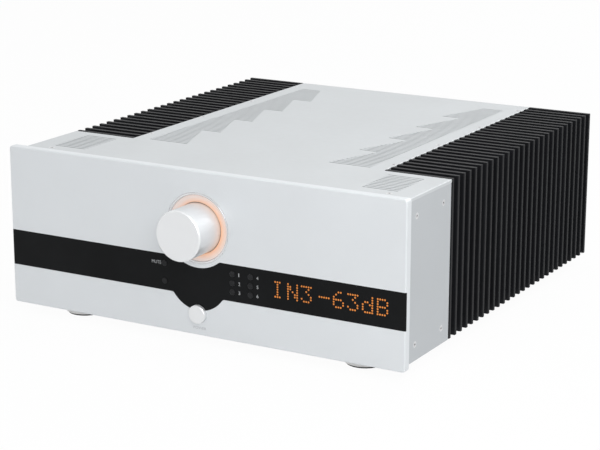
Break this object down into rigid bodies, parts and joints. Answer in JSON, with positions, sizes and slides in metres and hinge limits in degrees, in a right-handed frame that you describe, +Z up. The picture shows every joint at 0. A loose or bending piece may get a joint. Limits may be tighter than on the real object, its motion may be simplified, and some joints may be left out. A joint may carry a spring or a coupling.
{
  "type": "integrated power amplifier",
  "caption": "Integrated audio power amplifier: full-width silver case with finned heatsinks along both sides, lit volume knob, button strip with display, rear sockets.",
  "frame": {"origin": "on the surface it stands on, under the middle of its overall box", "axes": "+Z up, the fascia faces -Y, +X to the right as seen from the front"},
  "size_m": [0.435, 0.51, 0.17],
  "materials": {
    "satin_silver": "fine bead-blasted and clear anodised",
    "turned_silver": "turned, satin anodised, bright chamfers",
    "black_acrylic": "polished black acrylic",
    "lit_diffuser": "translucent diffuser lit orange from behind",
    "button_smoke": "smooth dark",
    "black_anodised": "black anodised, satin",
    "rear_silver": "satin anodised sheet",
    "zinc_steel": "zinc plated sheet",
    "screw_steel": "plain",
    "foot_rubber": "matt",
    "circuit_board": "green lacquered board",
    "component_black": "moulded",
    "capacitor_sleeve": "shrink sleeve",
    "transformer_winding": "steel core under copper winding and clear tape",
    "socket_black": "moulded, satin",
    "gold_contact": "gold plated",
    "blade_brass": "nickel plated blades",
    "terminal_red": "moulded red",
    "terminal_black": "moulded black"
  },
  "bodies": {
    "chassis": {"front_panel": "satin_silver", "side_cheek_left": "satin_silver", "side_cheek_right": "satin_silver", "top_cover": "satin_silver", "knob_bezel": "turned_silver", "feet": "turned_silver", "display_window": "black_acrylic", "light_ring": "lit_diffuser", "heatsink_left": "black_anodised", "heatsink_right": "black_anodised", "rear_panel": "rear_silver", "bottom_plate": "zinc_steel", "front_frame": "zinc_steel", "case_screws": "screw_steel", "fascia_screws": "screw_steel", "foot_screws": "screw_steel", "transformer_bolt": "screw_steel", "encoder_nut": "screw_steel", "board_standoffs": "screw_steel", "transformer_clamp_plate": "screw_steel", "foot_pads": "foot_rubber", "control_board": "circuit_board", "power_supply_board": "circuit_board", "amp_board_left": "circuit_board", "amp_board_right": "circuit_board", "input_board": "circuit_board", "encoder_body": "component_black", "power_switch": "component_black", "tact_switches": "component_black", "display_module": "component_black", "output_transistors_left": "component_black", "output_transistors_right": "component_black", "reservoir_capacitors": "capacitor_sleeve", "transformer": "transformer_winding", "mains_inlet": "socket_black", "xlr_sockets": "socket_black", "speaker_bushes": "socket_black", "phono_sockets": "gold_contact", "speaker_posts": "gold_contact", "inlet_pins": "blade_brass"},
    "volume_knob": {"volume_knob": "turned_silver", "encoder_shaft": "screw_steel"},
    "power_button": {"power_button": "turned_silver"},
    "mute_button": {"mute_button": "button_smoke"},
    "dim_button": {"dim_button": "button_smoke"},
    "fuse_drawer": {"fuse_drawer": "socket_black"},
    "input_button_1": {"input_button_1": "button_smoke"},
    "input_button_2": {"input_button_2": "button_smoke"},
    "input_button_3": {"input_button_3": "button_smoke"},
    "input_button_4": {"input_button_4": "button_smoke"},
    "input_button_5": {"input_button_5": "button_smoke"},
    "input_button_6": {"input_button_6": "button_smoke"},
    "speaker_collar_1": {"speaker_collar_1": "gold_contact"},
    "speaker_cap_1": {"speaker_cap_1": "terminal_black"},
    "speaker_collar_2": {"speaker_collar_2": "gold_contact"},
    "speaker_cap_2": {"speaker_cap_2": "terminal_red"},
    "speaker_collar_3": {"speaker_collar_3": "gold_contact"},
    "speaker_cap_3": {"speaker_cap_3": "terminal_red"},
    "speaker_collar_4": {"speaker_collar_4": "gold_contact"},
    "speaker_cap_4": {"speaker_cap_4": "terminal_black"}
  },
  "joints": [
    {"name": "volume_turn", "type": "hinge", "parent": "chassis", "child": "volume_knob", "pos_m": [0, -0.222, 0.1152], "axis": [0, 1, 0], "continuous": true},
    {"name": "power_press", "type": "slide", "parent": "chassis", "child": "power_button", "axis": [0, 1, 0], "range_m": [0, 0.0018], "stiffness_N_per_m": 600, "springref_m": -0.001},
    {"name": "mute_press", "type": "slide", "parent": "chassis", "child": "mute_button", "axis": [0, 1, 0], "range_m": [0, 0.0008], "stiffness_N_per_m": 500, "springref_m": -0.0005},
    {"name": "dim_press", "type": "slide", "parent": "chassis", "child": "dim_button", "axis": [0, 1, 0], "range_m": [0, 0.0008], "stiffness_N_per_m": 500, "springref_m": -0.0005},
    {"name": "input_press_1", "type": "slide", "parent": "chassis", "child": "input_button_1", "axis": [0, 1, 0], "range_m": [0, 0.0008], "stiffness_N_per_m": 500, "springref_m": -0.0005},
    {"name": "input_press_2", "type": "slide", "parent": "chassis", "child": "input_button_2", "axis": [0, 1, 0], "range_m": [0, 0.0008], "stiffness_N_per_m": 500, "springref_m": -0.0005},
    {"name": "input_press_3", "type": "slide", "parent": "chassis", "child": "input_button_3", "axis": [0, 1, 0], "range_m": [0, 0.0008], "stiffness_N_per_m": 500, "springref_m": -0.0005},
    {"name": "input_press_4", "type": "slide", "parent": "chassis", "child": "input_button_4", "axis": [0, 1, 0], "range_m": [0, 0.0008], "stiffness_N_per_m": 500, "springref_m": -0.0005},
    {"name": "input_press_5", "type": "slide", "parent": "chassis", "child": "input_button_5", "axis": [0, 1, 0], "range_m": [0, 0.0008], "stiffness_N_per_m": 500, "springref_m": -0.0005},
    {"name": "input_press_6", "type": "slide", "parent": "chassis", "child": "input_button_6", "axis": [0, 1, 0], "range_m": [0, 0.0008], "stiffness_N_per_m": 500, "springref_m": -0.0005},
    {"name": "fuse_drawer_slide", "type": "slide", "parent": "chassis", "child": "fuse_drawer", "axis": [0, 1, 0], "range_m": [0, 0.016]},
    {"name": "speaker_collar_1_slide", "type": "slide", "parent": "chassis", "child": "speaker_collar_1", "axis": [0, 1, 0], "range_m": [0, 0.0045]},
    {"name": "speaker_cap_1_turn", "type": "hinge", "parent": "speaker_collar_1", "child": "speaker_cap_1", "pos_m": [-0.106, 0.233, 0.052], "axis": [0, 1, 0], "range_deg": [0, 1080]},
    {"name": "speaker_collar_2_slide", "type": "slide", "parent": "chassis", "child": "speaker_collar_2", "axis": [0, 1, 0], "range_m": [0, 0.0045]},
    {"name": "speaker_cap_2_turn", "type": "hinge", "parent": "speaker_collar_2", "child": "speaker_cap_2", "pos_m": [-0.078, 0.233, 0.052], "axis": [0, 1, 0], "range_deg": [0, 1080]},
    {"name": "speaker_collar_3_slide", "type": "slide", "parent": "chassis", "child": "speaker_collar_3", "axis": [0, 1, 0], "range_m": [0, 0.0045]},
    {"name": "speaker_cap_3_turn", "type": "hinge", "parent": "speaker_collar_3", "child": "speaker_cap_3", "pos_m": [0.078, 0.233, 0.052], "axis": [0, 1, 0], "range_deg": [0, 1080]},
    {"name": "speaker_collar_4_slide", "type": "slide", "parent": "chassis", "child": "speaker_collar_4", "axis": [0, 1, 0], "range_m": [0, 0.0045]},
    {"name": "speaker_cap_4_turn", "type": "hinge", "parent": "speaker_collar_4", "child": "speaker_cap_4", "pos_m": [0.106, 0.233, 0.052], "axis": [0, 1, 0], "range_deg": [0, 1080]}
  ],
  "couplings": [
    {"joint": "speaker_cap_1_turn", "follows": "speaker_collar_1_slide", "rad_per_m": 4188.7},
    {"joint": "speaker_cap_2_turn", "follows": "speaker_collar_2_slide", "rad_per_m": 4188.7},
    {"joint": "speaker_cap_3_turn", "follows": "speaker_collar_3_slide", "rad_per_m": 4188.7},
    {"joint": "speaker_cap_4_turn", "follows": "speaker_collar_4_slide", "rad_per_m": 4188.7}
  ]
}
